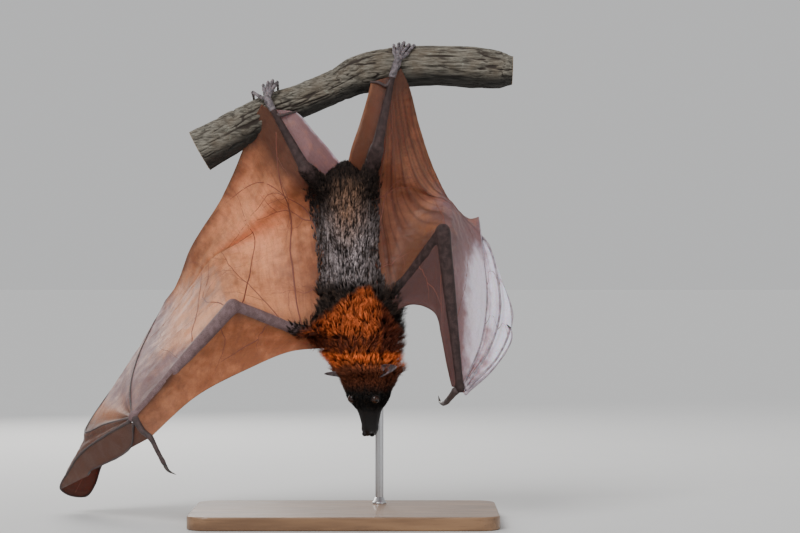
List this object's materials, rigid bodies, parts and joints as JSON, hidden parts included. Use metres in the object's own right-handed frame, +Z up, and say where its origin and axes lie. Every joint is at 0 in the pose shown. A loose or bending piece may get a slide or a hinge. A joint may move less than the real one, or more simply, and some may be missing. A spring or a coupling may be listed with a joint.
{
  "type": "fruit bat on a display stand",
  "caption": "Life-size fruit bat hanging head down by its feet from a cut length of branch, one wing spread and one half folded, on a rod and flat base.",
  "frame": {"origin": "centre of the base's underside", "axes": "+Z up, -Y towards the bat's back, -X towards its right wing"},
  "size_m": [0.5514, 0.2294, 0.5671],
  "materials": {
    "coat_dark": "dense black-brown fur with grey and golden tips",
    "coat_mantle": "long dense orange mantle fur",
    "coat_head": "short dark face fur, reddish on the forehead",
    "wing_membrane": "thin elastic wing skin, red-brown, veined and finely wrinkled",
    "limb_skin": "dark wrinkled skin over the bones",
    "foot_skin": "lilac-grey scaly foot skin",
    "claw": "dark smooth horn",
    "eye": "wet dark brown eye",
    "bark": "weathered grey bark with deep long furrows",
    "base_wood": "oiled oak, satin",
    "rod_steel": "brushed steel rod"
  },
  "bodies": {
    "root": {"stand_base": "base_wood", "stand_rod": "rod_steel", "perch": "bark", "lower_jaw": "coat_head", "head": "coat_head", "neck": "coat_mantle", "chest": "coat_mantle", "trunk": "coat_dark", "pelvis": "coat_dark", "eye_right": "eye", "ear_right": "limb_skin", "foot_right": "foot_skin", "wrist_right": "limb_skin", "thigh_right": "coat_dark", "shin_right": "limb_skin", "calcar_right": "limb_skin", "upper_arm_right": "coat_mantle", "forearm_right": "limb_skin", "thumb_right": "foot_skin", "thumb_claw_right": "claw", "digit5_right": "limb_skin", "digit4_right": "limb_skin", "digit3_right": "limb_skin", "digit2_right": "limb_skin", "side_membrane_right": "wing_membrane", "arm_membrane_right": "wing_membrane", "tail_membrane_right": "wing_membrane", "hand_membrane_5_4_right": "wing_membrane", "hand_membrane_4_3_right": "wing_membrane", "hand_membrane_3_2_right": "wing_membrane", "eye_left": "eye", "ear_left": "limb_skin", "foot_left": "foot_skin", "wrist_left": "limb_skin", "thigh_left": "coat_dark", "shin_left": "limb_skin", "calcar_left": "limb_skin", "upper_arm_left": "coat_mantle", "forearm_left": "limb_skin", "thumb_left": "foot_skin", "thumb_claw_left": "claw", "digit5_left": "limb_skin", "digit4_left": "limb_skin", "digit3_left": "limb_skin", "digit2_left": "limb_skin", "side_membrane_left": "wing_membrane", "arm_membrane_left": "wing_membrane", "tail_membrane_left": "wing_membrane", "hand_membrane_5_4_left": "wing_membrane", "hand_membrane_4_3_left": "wing_membrane", "hand_membrane_3_2_left": "wing_membrane"}
  },
  "joints": []
}
